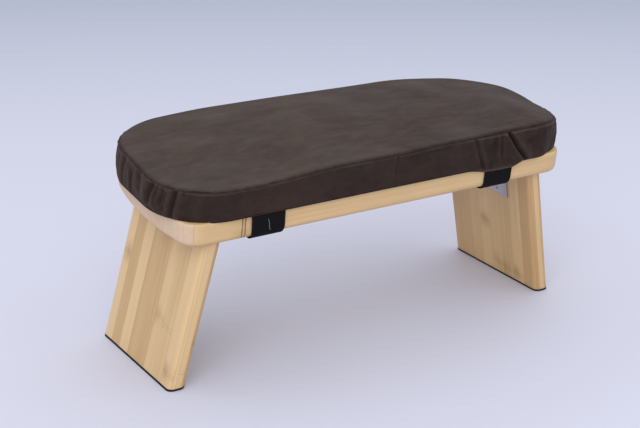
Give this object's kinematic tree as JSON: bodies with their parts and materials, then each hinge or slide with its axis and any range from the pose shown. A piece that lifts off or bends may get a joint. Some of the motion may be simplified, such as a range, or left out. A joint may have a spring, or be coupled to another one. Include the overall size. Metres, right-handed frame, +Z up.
{
  "type": "folding meditation bench",
  "caption": "Low kneeling bench: a sloped bamboo board with a strapped-on suede cushion, on splayed legs that fold flat under it on steel hinges.",
  "frame": {"origin": "on the floor, under the middle of the bench's bounding box", "axes": "+X along the seat board, +Y towards the high back edge of the sloped seat, +Z up"},
  "size_m": [0.4616, 0.179, 0.2211],
  "materials": {
    "bamboo_board": "satin",
    "bamboo_leg": "satin",
    "foot_rubber": "matte",
    "hinge_steel": "satin",
    "pin_steel": "satin",
    "screw_steel": "satin",
    "suede_cover": "matte",
    "foam": "matte",
    "strap_webbing": "matte",
    "hook_tape": "matte"
  },
  "bodies": {
    "seat": {"seat_board": "bamboo_board", "cushion_foam": "foam", "cushion_cover_base": "suede_cover", "cushion_cover_boxing": "suede_cover", "cushion_cover_top": "suede_cover", "front_left_strap": "strap_webbing", "front_left_hook_tape": "hook_tape", "front_right_strap": "strap_webbing", "front_right_hook_tape": "hook_tape", "back_left_strap": "strap_webbing", "back_left_hook_tape": "hook_tape", "back_right_strap": "strap_webbing", "back_right_hook_tape": "hook_tape", "left_hinge_board_leaf": "hinge_steel", "left_hinge_pin": "pin_steel", "left_hinge_board_screws": "screw_steel", "right_hinge_board_leaf": "hinge_steel", "right_hinge_pin": "pin_steel", "right_hinge_board_screws": "screw_steel"},
    "left_leg": {"left_leg": "bamboo_leg", "left_foot_pad": "foot_rubber", "left_hinge_leg_leaf": "hinge_steel", "left_hinge_leg_screws": "screw_steel"},
    "right_leg": {"right_leg": "bamboo_leg", "right_foot_pad": "foot_rubber", "right_hinge_leg_leaf": "hinge_steel", "right_hinge_leg_screws": "screw_steel"}
  },
  "joints": [
    {"name": "right_leg_fold", "type": "hinge", "parent": "seat", "child": "right_leg", "pos_m": [0.17156, 0.00028, 0.14747], "axis": [0, 0.9945, 0.1045], "range_deg": [0, 103.4]},
    {"name": "left_leg_fold", "type": "hinge", "parent": "seat", "child": "left_leg", "pos_m": [-0.17156, 0.00028, 0.14747], "axis": [0, -0.9945, -0.1045], "range_deg": [0, 103.4]}
  ]
}
